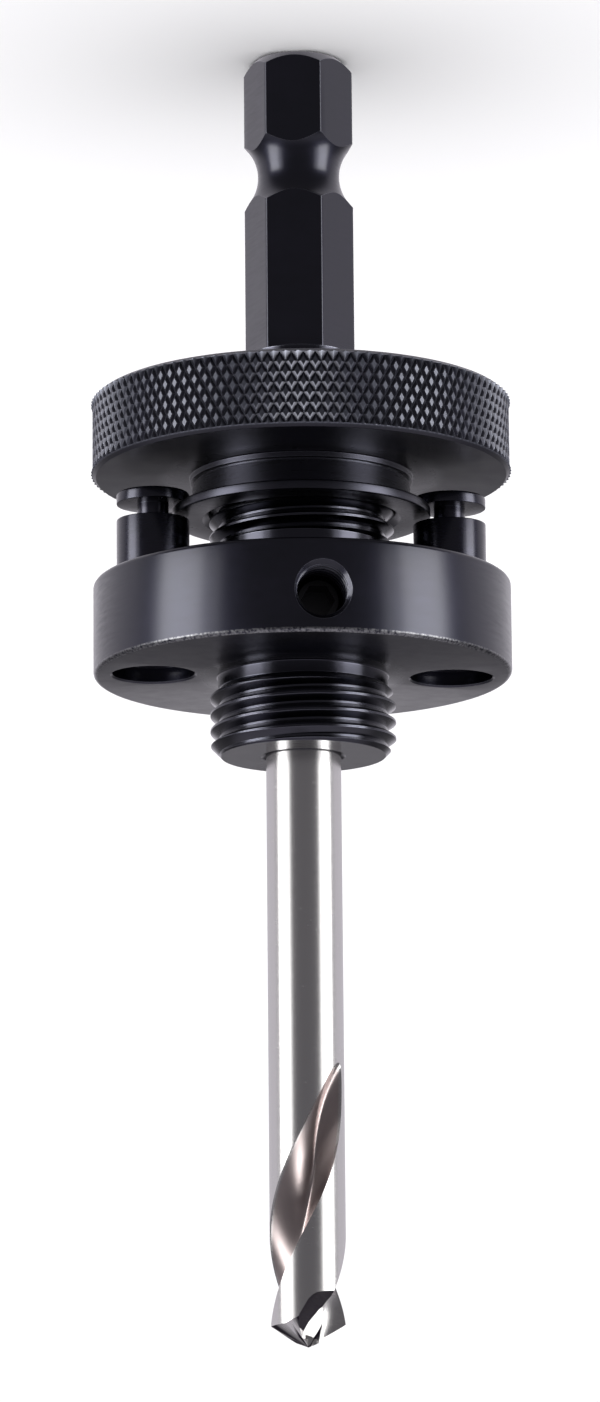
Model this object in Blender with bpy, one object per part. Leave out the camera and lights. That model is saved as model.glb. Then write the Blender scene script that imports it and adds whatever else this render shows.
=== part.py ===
"""Hole-saw arbor with a hex shank, a knurled pin nut, two drive pins and a pilot drill.

It stands on the end of its shank, with the pilot drill pointing up. Units are metres, and the
origin is the centre of the shank's end face.
"""

import math

import bmesh
import bpy
from mathutils import Matrix

# Shank: a bar milled to a hexagon, with a snap groove for a quick-change chuck
HEX_ACROSS_FLATS = 0.0082
HEX_LENGTH = 0.0253
HEX_TURN = math.radians(11.8)
SHANK_END_FLAT_RADIUS = 0.0037
SNAP_GROOVE_HEIGHT = 0.01025
SNAP_GROOVE_NECK_RADIUS = 0.0035
SNAP_GROOVE_ARC_RADIUS = 0.00405
JOURNAL_RADIUS = 0.00475
JOURNAL_LENGTH = 0.0062
HEX_RUNOUT = 0.0011

# Body: the length that the knurled nut screws along, then a relief, then the drive plate
THREAD_RADIUS = 0.00787
THREAD_CHAMFER = 0.0007
NUT_THREAD_LENGTH = 0.0116
RELIEF_RADIUS = 0.0071
RELIEF_LENGTH = 0.0032

# Drive plate, in one piece with the body; the walls beside its pin holes set where they are
PLATE_WALL_INSIDE_PINS = 0.00133
PLATE_WALL_OUTSIDE_PINS = 0.00156
PLATE_THICKNESS = 0.0080
PLATE_EDGE = 0.0004
SEAT_GAP_ROUND_NOSE = 0.0006
SEAT_RELIEF_DEPTH = 0.00015

# Nose that the hole saw screws onto, with the bore for the pilot drill
NOSE_NECK_RADIUS = 0.0072
NOSE_NECK_LENGTH = 0.0016
NOSE_THREAD_LENGTH = 0.0053
NOSE_CHAMFER = 0.0009
BORE_MOUTH_CHAMFER = 0.0003
BORE_TIP_ANGLE = math.radians(59)

# Pilot drill
DRILL_RADIUS = 0.003175
DRILL_REACH = 0.0500
DRILL_HELD_LENGTH = 0.0260
DRILL_END_CHAMFER = 0.0004
FLUTE_LENGTH = 0.0243
FLUTE_RUNOUT = 0.0060
FLUTE_RUNOUT_SLANT = 0.0075
FLUTE_PITCH = 0.0375
FLUTE_TURN = math.radians(-19.5)
HALF_WEB = 0.00068
LAND_ANGLE = math.radians(94.5)
LIP_STRAIGHT_END = -0.0011
MARGIN_ANGLE = math.radians(12)
LAND_RELIEF = 0.00008
POINT_HALF_ANGLE = math.radians(59)
LIP_RELIEF_ANGLE = math.radians(8)
NOTCH_START = math.radians(62)
NOTCH_SLOPE = math.radians(54)
FULL_SECTION_END = 0.0066

# Drive pins, which hang in the nut's rim by their grooves
PIN_RADIUS = 0.0031
PIN_LENGTH = 0.01545
PIN_HEAD_THICKNESS = 0.00095
PIN_GROOVE_WIDTH = 0.0014
PIN_NECK_RADIUS = 0.00135
PIN_EDGE = 0.0002
PIN_END_CHAMFER = 0.0005
PIN_CENTRE_RADIUS = 0.0004

# Knurled nut: the head, a narrow step, the hub and the rim that the pins hang on
NUT_HEAD_PROUD_OF_PLATE = 0.00021
NUT_HEAD_THICKNESS = 0.0067
NUT_HEAD_EDGE = 0.00035
NUT_STEP_RADIUS = 0.0095
NUT_STEP_LENGTH = 0.0005
NUT_UNDERCUT_RADIUS = 0.0090
NUT_UNDERCUT_LENGTH = 0.00022
NUT_HUB_RADIUS = 0.0093
NUT_HUB_LENGTH = 0.0021
NUT_RIM_THICKNESS = 0.00085
NUT_RIM_EDGE = 0.00018
NUT_MOUTH_CHAMFER = 0.0005
NUT_GAP_TO_PLATE = 0.0057

# Grub screw that clamps the pilot drill, drawn at the core of its thread
SCREW_CORE_RADIUS = 0.00205
SCREW_RECESS = 0.0045
SCREW_SOCKET_FLATS = 0.0025
SCREW_SOCKET_DEPTH = 0.0025
SCREW_EDGE = 0.0003
SCREW_CUP_RADIUS = 0.0011
SCREW_CUP_DEPTH = 0.0005
SCREW_ABOVE_PLATE_MIDDLE = 0.0004
SCREW_MOUTH_RADIUS = 0.00248

# Named clearances
THREAD_CLEARANCE = 0.00008
BORE_CLEARANCE = 0.00008
BORE_END_CLEARANCE = 0.0003
PIN_HOLE_CLEARANCE = 0.00040
SCREW_CLEARANCE = 0.00009
SCREW_TIP_CLEARANCE = 0.0001
RIM_CLEARANCE = 0.00028
RIM_TO_NECK_CLEARANCE = 0.00035

# Facets of the round pieces
LARGE_SEGMENTS = 64
SMALL_SEGMENTS = 40
ARC_STEPS = 10
LIP_STEPS = 14
FLUTE_STEPS = 60
POINT_STEPS = 3
LEAST_TURN = math.radians(0.4)
SHARP_ANGLE = math.radians(32)

# Heights above the shank's end, worked out from the sizes above
HEX_HALF = HEX_ACROSS_FLATS / 2
HEX_CORNER_RADIUS = HEX_HALF / math.cos(math.radians(30))
JOURNAL_START = HEX_LENGTH + HEX_RUNOUT
BODY_START = HEX_LENGTH + JOURNAL_LENGTH
RELIEF_START = BODY_START + NUT_THREAD_LENGTH
PLATE_START = RELIEF_START + RELIEF_LENGTH
PLATE_END = PLATE_START + PLATE_THICKNESS
NOSE_THREAD_START = PLATE_END + NOSE_NECK_LENGTH
NOSE_END = NOSE_THREAD_START + NOSE_THREAD_LENGTH
DRILL_TIP = NOSE_END + DRILL_REACH
DRILL_START = NOSE_END - DRILL_HELD_LENGTH
BORE_RADIUS = DRILL_RADIUS + BORE_CLEARANCE
BORE_START = DRILL_START - BORE_END_CLEARANCE
RIM_END = PLATE_START - NUT_GAP_TO_PLATE
RIM_START = RIM_END - NUT_RIM_THICKNESS
HUB_START = RIM_START - NUT_HUB_LENGTH
UNDERCUT_START = HUB_START - NUT_UNDERCUT_LENGTH
STEP_START = UNDERCUT_START - NUT_STEP_LENGTH
HEAD_START = STEP_START - NUT_HEAD_THICKNESS
NUT_BORE_RADIUS = THREAD_RADIUS + THREAD_CLEARANCE
PIN_GROOVE_END = RIM_END + RIM_CLEARANCE
PIN_START = PIN_GROOVE_END - PIN_GROOVE_WIDTH - PIN_HEAD_THICKNESS
PIN_HOLE_RADIUS = PIN_RADIUS + PIN_HOLE_CLEARANCE
PIN_CIRCLE_RADIUS = THREAD_RADIUS + PLATE_WALL_INSIDE_PINS + PIN_HOLE_RADIUS
PLATE_RADIUS = PIN_CIRCLE_RADIUS + PIN_HOLE_RADIUS + PLATE_WALL_OUTSIDE_PINS
NUT_HEAD_RADIUS = PLATE_RADIUS + NUT_HEAD_PROUD_OF_PLATE
NUT_RIM_RADIUS = PIN_CIRCLE_RADIUS - PIN_NECK_RADIUS - RIM_TO_NECK_CLEARANCE
SCREW_HEIGHT = (PLATE_START + PLATE_END) / 2 + SCREW_ABOVE_PLATE_MIDDLE
SCREW_HOLE_RADIUS = SCREW_CORE_RADIUS + SCREW_CLEARANCE
SCREW_TIP_AT = DRILL_RADIUS + SCREW_TIP_CLEARANCE
SCREW_LENGTH = PLATE_RADIUS - SCREW_RECESS - SCREW_TIP_AT


def clear_scene():
    """Removes whatever the open file holds."""
    for obj in list(bpy.data.objects):
        bpy.data.objects.remove(obj, do_unlink=True)


def make_material(name, colour, roughness, metallic):
    """A Principled material of one colour."""
    material = bpy.data.materials.new(name)
    material.use_nodes = True
    shader = material.node_tree.nodes["Principled BSDF"]
    shader.inputs["Base Color"].default_value = (*colour, 1)
    shader.inputs["Roughness"].default_value = roughness
    shader.inputs["Metallic"].default_value = metallic
    return material


def add_object(name, bm, material=None, matrix=Matrix.Identity(4)):
    """Turns a bmesh into a smooth-shaded object at a place."""
    bmesh.ops.remove_doubles(bm, verts=bm.verts, dist=1e-7)
    bmesh.ops.recalc_face_normals(bm, faces=bm.faces)
    mesh = bpy.data.meshes.new(name)
    bm.to_mesh(mesh)
    bm.free()
    mesh.shade_smooth()
    mesh.set_sharp_from_angle(angle=SHARP_ANGLE)
    if material:
        mesh.materials.append(material)
    obj = bpy.data.objects.new(name, mesh)
    obj.matrix_world = matrix
    bpy.context.scene.collection.objects.link(obj)
    return obj


def add_guide(name, bm, matrix=Matrix.Identity(4)):
    """An object that only shapes others."""
    guide = add_object(name, bm, matrix=matrix)
    guide.hide_render = True
    guide.display_type = "WIRE"
    return guide


def combine(obj, other, operation):
    """Adds a live Boolean to an object."""
    modifier = obj.modifiers.new(other.name, "BOOLEAN")
    modifier.operation = operation
    modifier.solver = "EXACT"
    modifier.object = other


def turn(profile, segments):
    """Revolves a closed outline of (radius, height) points about Z."""
    bm = bmesh.new()
    verts = [bm.verts.new((radius, 0, height)) for radius, height in profile]
    edges = [bm.edges.new((verts[i], verts[(i + 1) % len(verts)])) for i in range(len(verts))]
    edges = [edge for edge in edges if max(abs(v.co.x) for v in edge.verts) > 1e-9]
    bmesh.ops.spin(
        bm, geom=verts + edges, cent=(0, 0, 0), axis=(0, 0, 1), dvec=(0, 0, 0),
        angle=math.tau, steps=segments, use_merge=True,
    )
    bmesh.ops.remove_doubles(bm, verts=bm.verts, dist=1e-7)
    loose = [edge for edge in bm.edges if not edge.link_faces]
    bmesh.ops.delete(bm, geom=loose, context="EDGES")
    return bm


def arc(centre, radius, start, end, steps):
    """Points (radius, height) along an arc, its angles measured from the outward direction."""
    angles = [start + (end - start) * i / steps for i in range(steps + 1)]
    return [(centre[0] + radius * math.cos(a), centre[1] + radius * math.sin(a)) for a in angles]


def hex_prism(half_flats, bottom, top, turned=0.0):
    """A hexagonal prism; with no turn its first flat faces -Y."""
    bm = bmesh.new()
    bmesh.ops.create_cone(
        bm, cap_ends=True, segments=6, radius1=half_flats / math.cos(math.radians(30)),
        radius2=half_flats / math.cos(math.radians(30)), depth=top - bottom,
    )
    middle = Matrix.Translation((0, 0, (bottom + top) / 2))
    half_side = math.radians(30)
    bmesh.ops.transform(bm, matrix=middle @ Matrix.Rotation(turned + half_side, 4, "Z"), verts=bm.verts)
    return bm


def make_shank_turning():
    """What the lathe leaves of the shank: the end chamfer and the round snap groove."""
    outside = HEX_CORNER_RADIUS + 0.0006
    centre_radius = SNAP_GROOVE_NECK_RADIUS + SNAP_GROOVE_ARC_RADIUS
    half_angle = math.acos((centre_radius - outside) / SNAP_GROOVE_ARC_RADIUS)
    groove = arc(
        (centre_radius, SNAP_GROOVE_HEIGHT), SNAP_GROOVE_ARC_RADIUS,
        math.pi + half_angle, math.pi - half_angle, ARC_STEPS,
    )
    profile = [(0, 0), (SHANK_END_FLAT_RADIUS, 0), (outside, outside - SHANK_END_FLAT_RADIUS)]
    profile += groove
    profile += [(outside, BODY_START), (0, BODY_START)]
    return add_guide("shank_turning", turn(profile, LARGE_SEGMENTS))


def make_hex_bar():
    """The hexagon, which ends inside the round journal."""
    bar = add_guide("hex_bar", hex_prism(HEX_HALF, 0, JOURNAL_START + HEX_RUNOUT, HEX_TURN))
    combine(bar, make_shank_turning(), "INTERSECT")
    return bar


def arbor_profile():
    """Outline of the turned body from the hexagon's run-out to the nose, with its bore."""
    inside = HEX_HALF - 0.0004
    runout = arc((JOURNAL_RADIUS, HEX_LENGTH), HEX_RUNOUT, math.radians(170), math.radians(90), 4)
    chamfer = THREAD_CHAMFER
    profile = [(0, HEX_LENGTH), (inside, HEX_LENGTH)] + runout
    profile += [
        (JOURNAL_RADIUS, BODY_START),
        (THREAD_RADIUS - chamfer, BODY_START),
        (THREAD_RADIUS, BODY_START + chamfer),
        (THREAD_RADIUS, RELIEF_START - chamfer),
        (RELIEF_RADIUS, RELIEF_START),
        (RELIEF_RADIUS, PLATE_START),
    ]
    edge = PLATE_RADIUS - PLATE_EDGE
    profile += arc((edge, PLATE_START + PLATE_EDGE), PLATE_EDGE, math.radians(-90), 0, 3)
    profile += arc((edge, PLATE_END - PLATE_EDGE), PLATE_EDGE, 0, math.radians(90), 3)
    profile += [
        (THREAD_RADIUS + SEAT_GAP_ROUND_NOSE, PLATE_END),
        (THREAD_RADIUS + SEAT_GAP_ROUND_NOSE, PLATE_END - SEAT_RELIEF_DEPTH),
        (NOSE_NECK_RADIUS, PLATE_END - SEAT_RELIEF_DEPTH),
        (NOSE_NECK_RADIUS, NOSE_THREAD_START),
        (THREAD_RADIUS, NOSE_THREAD_START + THREAD_RADIUS - NOSE_NECK_RADIUS),
        (THREAD_RADIUS, NOSE_END - NOSE_CHAMFER),
        (THREAD_RADIUS - NOSE_CHAMFER, NOSE_END),
        (BORE_RADIUS + BORE_MOUTH_CHAMFER, NOSE_END),
        (BORE_RADIUS, NOSE_END - BORE_MOUTH_CHAMFER),
        (BORE_RADIUS, BORE_START),
        (0, BORE_START - BORE_RADIUS / math.tan(BORE_TIP_ANGLE)),
    ]
    return profile


def make_pin_hole_cutter(side):
    """A drill through the plate where a pin slides."""
    bm = bmesh.new()
    bmesh.ops.create_cone(
        bm, cap_ends=True, segments=SMALL_SEGMENTS, radius1=PIN_HOLE_RADIUS,
        radius2=PIN_HOLE_RADIUS, depth=PLATE_THICKNESS * 1.5,
    )
    place = Matrix.Translation((side * PIN_CIRCLE_RADIUS, 0, (PLATE_START + PLATE_END) / 2))
    return add_guide(f"pin_hole_cutter_{'right' if side < 0 else 'left'}", bm, place)


def screw_axis_matrix():
    """Turns a shape made along +Z to point out of the plate along -Y, at the screw's height."""
    return Matrix.Translation((0, 0, SCREW_HEIGHT)) @ Matrix.Rotation(math.radians(90), 4, "X")


def make_screw_hole_cutter():
    """The tapped hole from the plate's rim to the pilot bore, opened out at its mouth."""
    sink = SCREW_MOUTH_RADIUS - SCREW_HOLE_RADIUS
    outside = PLATE_RADIUS + 0.001
    profile = [
        (0, 0),
        (SCREW_HOLE_RADIUS, 0),
        (SCREW_HOLE_RADIUS, PLATE_RADIUS - sink),
        (SCREW_MOUTH_RADIUS + 0.001, outside),
        (0, outside),
    ]
    return add_guide("screw_hole_cutter", turn(profile, SMALL_SEGMENTS), screw_axis_matrix())


def make_arbor_body(material):
    """Hex shank, threaded body, drive plate and threaded nose, in one piece."""
    body = add_object("arbor_body", turn(arbor_profile(), LARGE_SEGMENTS), material)
    combine(body, make_hex_bar(), "UNION")
    for side in (-1, 1):
        combine(body, make_pin_hole_cutter(side), "DIFFERENCE")
    combine(body, make_screw_hole_cutter(), "DIFFERENCE")
    return body


def make_knurled_nut(material):
    """The nut that is turned by hand to push the pins out and draw them back."""
    edge = NUT_HEAD_EDGE
    rim_edge = NUT_RIM_EDGE
    mouth = NUT_BORE_RADIUS + NUT_MOUTH_CHAMFER
    profile = [
        (mouth, 0),
        (NUT_HEAD_RADIUS - edge, 0),
        (NUT_HEAD_RADIUS, edge),
        (NUT_HEAD_RADIUS, NUT_HEAD_THICKNESS - edge),
        (NUT_HEAD_RADIUS - edge, NUT_HEAD_THICKNESS),
        (NUT_STEP_RADIUS, NUT_HEAD_THICKNESS),
        (NUT_STEP_RADIUS, UNDERCUT_START - HEAD_START),
        (NUT_UNDERCUT_RADIUS, UNDERCUT_START - HEAD_START),
        (NUT_UNDERCUT_RADIUS, HUB_START - HEAD_START),
        (NUT_HUB_RADIUS, HUB_START - HEAD_START),
        (NUT_HUB_RADIUS, RIM_START - HEAD_START),
        (NUT_RIM_RADIUS - rim_edge, RIM_START - HEAD_START),
        (NUT_RIM_RADIUS, RIM_START - HEAD_START + rim_edge),
        (NUT_RIM_RADIUS, RIM_END - HEAD_START - rim_edge),
        (NUT_RIM_RADIUS - rim_edge, RIM_END - HEAD_START),
        (mouth, RIM_END - HEAD_START),
        (NUT_BORE_RADIUS, RIM_END - HEAD_START - NUT_MOUTH_CHAMFER),
        (NUT_BORE_RADIUS, NUT_MOUTH_CHAMFER),
    ]
    place = Matrix.Translation((0, 0, HEAD_START))
    return add_object("knurled_nut", turn(profile, LARGE_SEGMENTS), material, place)


def make_drive_pin(name, side, material):
    """A pin with a turned groove near its head; the nut's rim turns in the groove."""
    groove_start = PIN_HEAD_THICKNESS
    groove_end = PIN_HEAD_THICKNESS + PIN_GROOVE_WIDTH
    profile = [
        (0, 0),
        (PIN_RADIUS - PIN_EDGE, 0),
        (PIN_RADIUS, PIN_EDGE),
        (PIN_RADIUS, groove_start),
        (PIN_NECK_RADIUS, groove_start),
        (PIN_NECK_RADIUS, groove_end),
        (PIN_RADIUS, groove_end),
        (PIN_RADIUS, PIN_LENGTH - PIN_END_CHAMFER),
        (PIN_RADIUS - PIN_END_CHAMFER, PIN_LENGTH),
        (PIN_CENTRE_RADIUS, PIN_LENGTH),
        (0, PIN_LENGTH - PIN_CENTRE_RADIUS),
    ]
    place = Matrix.Translation((side * PIN_CIRCLE_RADIUS, 0, PIN_START))
    return add_object(name, turn(profile, SMALL_SEGMENTS), material, place)


def make_grub_screw(material):
    """The screw in the plate's rim, with its socket outwards and its cup on the drill."""
    profile = [
        (0, SCREW_CUP_DEPTH),
        (SCREW_CUP_RADIUS, 0),
        (SCREW_CORE_RADIUS - SCREW_EDGE, SCREW_EDGE),
        (SCREW_CORE_RADIUS, SCREW_EDGE * 2),
        (SCREW_CORE_RADIUS, SCREW_LENGTH - SCREW_EDGE),
        (SCREW_CORE_RADIUS - SCREW_EDGE, SCREW_LENGTH),
        (0, SCREW_LENGTH),
    ]
    place = screw_axis_matrix() @ Matrix.Translation((0, 0, SCREW_TIP_AT))
    screw = add_object("grub_screw", turn(profile, SMALL_SEGMENTS), material, place)
    socket = hex_prism(SCREW_SOCKET_FLATS / 2, SCREW_LENGTH - SCREW_SOCKET_DEPTH, SCREW_LENGTH * 1.1)
    combine(screw, add_guide("grub_screw_socket", socket, place), "DIFFERENCE")
    return screw


def heel_share(angle):
    """Where an angle lies: 0 at a heel and 1 at a lip, over the land as over the flute."""
    before_heel = (angle - math.asin(HALF_WEB / DRILL_RADIUS) + LAND_ANGLE) % math.pi
    if before_heel < LAND_ANGLE:
        return before_heel / LAND_ANGLE
    return (math.pi - before_heel) / (math.pi - LAND_ANGLE)


def half_section():
    """Half of the drill's section, from one cutting corner round to the next lip.

    The land runs back from the corner to the heel. The flute drops from there to the web in an
    arc and follows the next lip out in a straight line, to stop short of the next corner. Each
    point has its angle, its radius, and how much of the land's relief its place takes.
    """
    corner = math.asin(HALF_WEB / DRILL_RADIUS)
    heel = corner - LAND_ANGLE
    margin_end = corner - MARGIN_ANGLE
    relieved = DRILL_RADIUS - LAND_RELIEF
    points = [(corner - MARGIN_ANGLE * i / 2, DRILL_RADIUS, 0.0) for i in range(3)]
    points += [(margin_end + (heel - margin_end) * i / 6, relieved, 1.0) for i in range(1, 7)]
    run = relieved * math.cos(heel) - LIP_STRAIGHT_END
    rise = -relieved * math.sin(heel) - HALF_WEB
    sweep = 2 * math.atan2(rise, run)
    bend = run / math.sin(sweep)
    flute = []
    for i in range(1, ARC_STEPS + 1):
        turned = sweep * (1 - i / ARC_STEPS)
        x = LIP_STRAIGHT_END + bend * math.sin(turned)
        flute.append((x, -HALF_WEB - bend * (1 - math.cos(turned))))
    reach = -DRILL_RADIUS * math.cos(corner)
    for i in range(1, LIP_STEPS):
        flute.append((LIP_STRAIGHT_END + (reach - LIP_STRAIGHT_END) * i / LIP_STEPS, -HALF_WEB))
    for x, y in flute:
        angle = min(math.atan2(y, x), points[-1][0] - LEAST_TURN)
        points.append((angle, math.hypot(x, y), 1 - heel_share(angle)))
    return points


def drill_section():
    """Both halves of the section, going once round."""
    half = half_section()
    return half + [(angle - math.pi, radius, relief) for angle, radius, relief in half]


def below_cone(angle, radius):
    """How far the ground point lies below the cone of the lips, at a place in the section."""
    lip = math.asin(min(HALF_WEB / radius, 1))
    behind = (lip - angle) % math.pi
    if behind > math.radians(170):
        behind = 0.0
    behind = min(behind, LAND_ANGLE)
    notch = max(behind - NOTCH_START, 0.0)
    return radius * (math.tan(LIP_RELIEF_ANGLE) * behind + math.tan(NOTCH_SLOPE) * notch)


def drawn_radius(point, height):
    """The drill's radius at a point of the section and a height.

    Near their end the flutes rise out of the drill. The wheel leaves it aslant: beside a lip it
    is out later than at the heel.
    """
    angle, radius, relief = point
    above = height - (DRILL_TIP - FLUTE_LENGTH)
    outside = DRILL_RADIUS - LAND_RELIEF * relief * min(max(above / FLUTE_RUNOUT, 0.0), 1.0)
    along = (above - FLUTE_RUNOUT_SLANT * heel_share(angle)) / FLUTE_RUNOUT
    left = 1 - min(max(along, 0.0), 1.0)
    return min(outside, radius + (DRILL_RADIUS - HALF_WEB) * left * left)


def make_pilot_drill(material):
    """A two-flute drill whose section turns with height and ends in a ground point."""
    section = drill_section()
    cone_slope = 1 / math.tan(POINT_HALF_ANGLE)
    flute_start = DRILL_TIP - FLUTE_LENGTH
    last_full = DRILL_TIP - FULL_SECTION_END
    bm = bmesh.new()

    def place(point, height):
        """A vertex of the section at a height; the lips come out straight on the cone."""
        drawn = drawn_radius(point, height)
        turned = point[0] + FLUTE_TURN + math.tau * (height - DRILL_TIP + drawn * cone_slope) / FLUTE_PITCH
        return bm.verts.new((drawn * math.cos(turned), drawn * math.sin(turned), height))

    def shank_ring(radius, height):
        """A ring of the round shank, in line with the first ring of the flutes."""
        turn = FLUTE_TURN + math.tau * (DRILL_RADIUS * cone_slope - FLUTE_LENGTH) / FLUTE_PITCH
        angles = [point[0] + turn for point in section]
        return [bm.verts.new((radius * math.cos(a), radius * math.sin(a), height)) for a in angles]

    rings = [
        shank_ring(DRILL_RADIUS - DRILL_END_CHAMFER, DRILL_START),
        shank_ring(DRILL_RADIUS, DRILL_START + DRILL_END_CHAMFER),
    ]
    for i in range(FLUTE_STEPS + 1):
        height = flute_start + (last_full - flute_start) * i / FLUTE_STEPS
        rings.append([place(point, height) for point in section])
    ends = [DRILL_TIP - point[1] * cone_slope - below_cone(point[0], point[1]) for point in section]
    for i in range(1, POINT_STEPS + 1):
        heights = [last_full + (end - last_full) * i / POINT_STEPS for end in ends]
        rings.append([place(point, height) for point, height in zip(section, heights)])
    count = len(section)
    for lower, upper in zip(rings, rings[1:]):
        for i in range(count):
            j = (i + 1) % count
            bm.faces.new((lower[i], lower[j], upper[j], upper[i]))
    tip = bm.verts.new((0, 0, DRILL_TIP))
    for i in range(count):
        bm.faces.new((rings[-1][i], rings[-1][(i + 1) % count], tip))
    bm.faces.new(rings[0])
    bmesh.ops.triangulate(bm, faces=bm.faces)
    return add_object("pilot_drill", bm, material)


def main():
    """Builds every piece."""
    clear_scene()
    black_oxide = make_material("black_oxide_steel", (0.035, 0.034, 0.040), 0.34, 0.85)
    ground_steel = make_material("ground_high_speed_steel", (0.62, 0.60, 0.59), 0.22, 1.0)
    dark_alloy = make_material("dark_alloy_steel", (0.02, 0.02, 0.022), 0.4, 0.8)
    make_arbor_body(black_oxide)
    make_knurled_nut(black_oxide)
    make_drive_pin("drive_pin_left", 1, black_oxide)
    make_drive_pin("drive_pin_right", -1, black_oxide)
    make_grub_screw(dark_alloy)
    make_pilot_drill(ground_steel)


main()
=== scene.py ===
"""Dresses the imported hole-saw arbor: knurl, threads, ground flutes, finishes, light and camera."""

import math

import bmesh
import bpy
from mathutils import Matrix, Vector
from mathutils.geometry import interpolate_bezier


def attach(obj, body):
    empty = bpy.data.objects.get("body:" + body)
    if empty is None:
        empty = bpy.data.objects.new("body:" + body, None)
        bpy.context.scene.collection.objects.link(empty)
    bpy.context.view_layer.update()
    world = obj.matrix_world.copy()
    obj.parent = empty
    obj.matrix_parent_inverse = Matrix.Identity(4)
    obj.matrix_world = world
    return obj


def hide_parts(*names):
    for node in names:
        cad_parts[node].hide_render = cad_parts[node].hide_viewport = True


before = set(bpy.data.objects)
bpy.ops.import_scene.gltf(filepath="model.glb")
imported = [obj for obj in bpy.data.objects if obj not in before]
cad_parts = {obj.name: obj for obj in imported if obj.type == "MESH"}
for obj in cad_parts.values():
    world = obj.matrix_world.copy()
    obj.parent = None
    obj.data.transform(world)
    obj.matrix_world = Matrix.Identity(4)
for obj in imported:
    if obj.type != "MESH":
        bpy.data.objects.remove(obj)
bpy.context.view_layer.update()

# Sizes are in millimetres, unless their heading says otherwise
MM = 0.001

# Photo: its size in pixels, its scale at the point looked at, and where that point is
PHOTO_WIDTH = 600
PHOTO_HEIGHT = 1402
PIXELS_PER_MM = 11.8
CAMERA_DISTANCE = 520.0
CAMERA_ELEVATION = math.radians(12.0)
CAMERA_AZIMUTH = math.radians(5.7)
TARGET_HEIGHT = 56.4
AXIS_AT_TARGET = 303.1
AXIS_LEAN = math.radians(-0.5)
SENSOR_WIDTH = 36

# Shank; heights are above its end face
HEX_HALF = 4.1
HEX_TURN = math.radians(11.8)
HEX_TOP = 25.3
HEX_EDGE = 0.12
END_FLAT_RADIUS = 3.7
END_EDGE = 0.25
GROOVE_HEIGHT = 10.25
GROOVE_NECK = 3.5
GROOVE_ARC = 4.05
RUNOUT = 1.1
RUNOUT_FROM = math.radians(175)
RUNOUT_TO = math.radians(90)
RUNOUT_FOOT = 0.6
RUNOUT_INSET = 0.4
JOURNAL_RADIUS = 4.75

# Body, plate and nose
SHOULDER = 31.5
SHOULDER_CHAMFER = 0.8
RELIEF_START = 43.1
RELIEF_RADIUS = 7.1
PLATE_START = 46.3
PLATE_END = 54.3
PLATE_RADIUS = 17.76
PLATE_EDGE = 0.4
PLATE_FILLET = 0.25
NOSE_NECK_RADIUS = 7.2
NOSE_FILLET = 0.2
NOSE_THREAD_START = 55.3
NOSE_END = 61.2
NOSE_CHAMFER = 0.9
THREAD_RADIUS = 7.87
THREAD_PITCH = 1.4111
THREAD_DEPTH = 0.78
BORE_RADIUS = 3.255
BORE_START = 34.9
BORE_MOUTH = 0.3

# A thread over one pitch, as (share of its depth above the root, share of its pitch)
THREAD_PROFILE = [
    (0.0, 0.0), (0.06, 0.09), (0.9, 0.39), (1.0, 0.44),
    (1.0, 0.56), (0.9, 0.61), (0.06, 0.91), (0.0, 1.0),
]

# How far cutters reach past what they cut, and joined shapes into each other
OVERLAP = 1.0
SHANK_MARGIN = 0.6
THREAD_LAP = 0.1
THREAD_OVERRUN = 0.5
THREAD_MARGIN = 0.2
THREAD_END_SINK = 0.05
CORE_SINK = 0.03

# Drive pins and the holes that they slide in
PIN_CIRCLE = 12.7
PIN_RADIUS = 3.1
PIN_START = 38.53
PIN_END = 53.2
PIN_HEAD_EDGE = 0.2
PIN_GROOVE_START = 39.48
PIN_GROOVE_END = 40.88
PIN_GROOVE_NEAR_EDGE = 0.05
PIN_GROOVE_FAR_EDGE = 0.08
PIN_NECK = 1.35
PIN_CHAMFER = 0.5
PIN_CHAMFER_EDGE = 0.1
CENTRE_MARK_RADIUS = 0.5
CENTRE_MARK_DEPTH = 0.45
CENTRE_MARK_EDGE = 0.03
PIN_HOLE_RADIUS = 3.5
PIN_HOLE_CHAMFER = 0.15

# Knurled nut
NUT_START = 30.23
NUT_HEAD_END = 36.93
NUT_HEAD_RADIUS = 17.97
NUT_BORE_RADIUS = 7.95
NUT_BORE_CHAMFER = 0.5
NUT_BORE_EDGE = 0.05
NUT_STEP_RADIUS = 9.5
NUT_STEP_END = 37.43
NUT_STEP_EDGE = 0.08
NUT_UNDERCUT_RADIUS = 9.0
NUT_HUB_START = 37.65
NUT_HUB_RADIUS = 9.3
NUT_HUB_EDGE = 0.06
NUT_HUB_FILLET = 0.12
NUT_RIM_START = 39.75
NUT_RIM_END = 40.6
NUT_RIM_RADIUS = 11.0
NUT_RIM_EDGE = 0.15
NUT_SHARP = math.radians(24)

# Knurl; the flat on a crest is a percentage of the edges that meet there
KNURL_COLUMNS = 112
KNURL_ROW = 0.88
KNURL_DEPTH = 0.36
KNURL_LIP = 0.35
KNURL_EDGE = 0.1
KNURL_GAP = 0.02
KNURL_FLAT = 44

# Grub screw and its tapped hole; SCREW_OUTER and SCREW_TIP are measured out from the arbor's axis
SCREW_HEIGHT = 50.7
SCREW_OUTER = 13.26
SCREW_TIP = 3.28
SCREW_RADIUS = 2.05
SCREW_END_CHAMFER = 0.35
SCREW_START_CHAMFER = 0.15
CUP_RADIUS = 1.1
CUP_DEPTH = 0.5
SCREW_POINT_RADIUS = 1.7375
SCREW_POINT_LENGTH = 0.6
SOCKET_HALF = 1.25
SOCKET_DEPTH = 2.5
SCREW_CLEARANCE = 0.06
SCREW_MOUTH_RADIUS = 2.48
TAPPED_RADIUS = 2.42
TAPPED_DEPTH = 0.36
TAPPED_PITCH = 0.8
TAPPED_START = 6.0
TAPPED_SHORT = 0.15

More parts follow.
